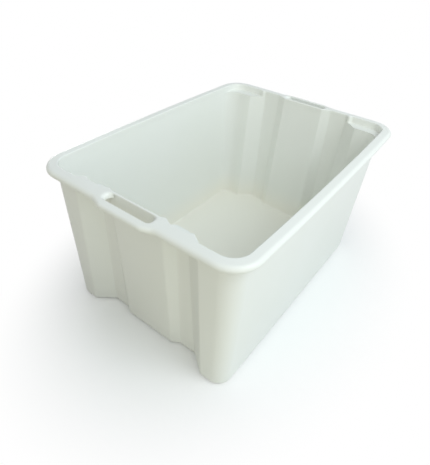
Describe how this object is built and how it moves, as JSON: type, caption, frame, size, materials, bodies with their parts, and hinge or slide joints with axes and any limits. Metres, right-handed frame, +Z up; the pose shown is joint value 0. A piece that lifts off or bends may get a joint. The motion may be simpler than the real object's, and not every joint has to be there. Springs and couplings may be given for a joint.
{
  "type": "plastic tub",
  "caption": "White moulded plastic harvest tub with a rolled rim, a hand slot in each end, and ribbed end walls with ledges, so it nests one way and stacks when turned.",
  "frame": {"origin": "middle of the tub's footprint, on the surface that it stands on", "axes": "+X along the length towards the end with the outward columns, +Y across the width, +Z up"},
  "size_m": [0.645, 0.457, 0.319],
  "materials": {
    "plastic": "satin white, slightly translucent"
  },
  "bodies": {
    "root": {"floor": "plastic", "front_grip": "plastic", "front_grip_lip": "plastic", "front_grip_strip": "plastic", "front_left_channel": "plastic", "front_left_column": "plastic", "front_left_corner": "plastic", "front_left_ledge": "plastic", "front_panel": "plastic", "front_right_channel": "plastic", "front_right_column": "plastic", "front_right_corner": "plastic", "front_right_ledge": "plastic", "left_wall": "plastic", "rear_grip": "plastic", "rear_grip_lip": "plastic", "rear_grip_strip": "plastic", "rear_left_column": "plastic", "rear_left_corner": "plastic", "rear_left_ledge": "plastic", "rear_left_ridge": "plastic", "rear_panel": "plastic", "rear_right_column": "plastic", "rear_right_corner": "plastic", "rear_right_ledge": "plastic", "rear_right_ridge": "plastic", "right_wall": "plastic", "rim_front_left": "plastic", "rim_front_left_corner": "plastic", "rim_front_right": "plastic", "rim_front_right_corner": "plastic", "rim_left": "plastic", "rim_rear_left": "plastic", "rim_rear_left_corner": "plastic", "rim_rear_right": "plastic", "rim_rear_right_corner": "plastic", "rim_right": "plastic"}
  },
  "joints": []
}
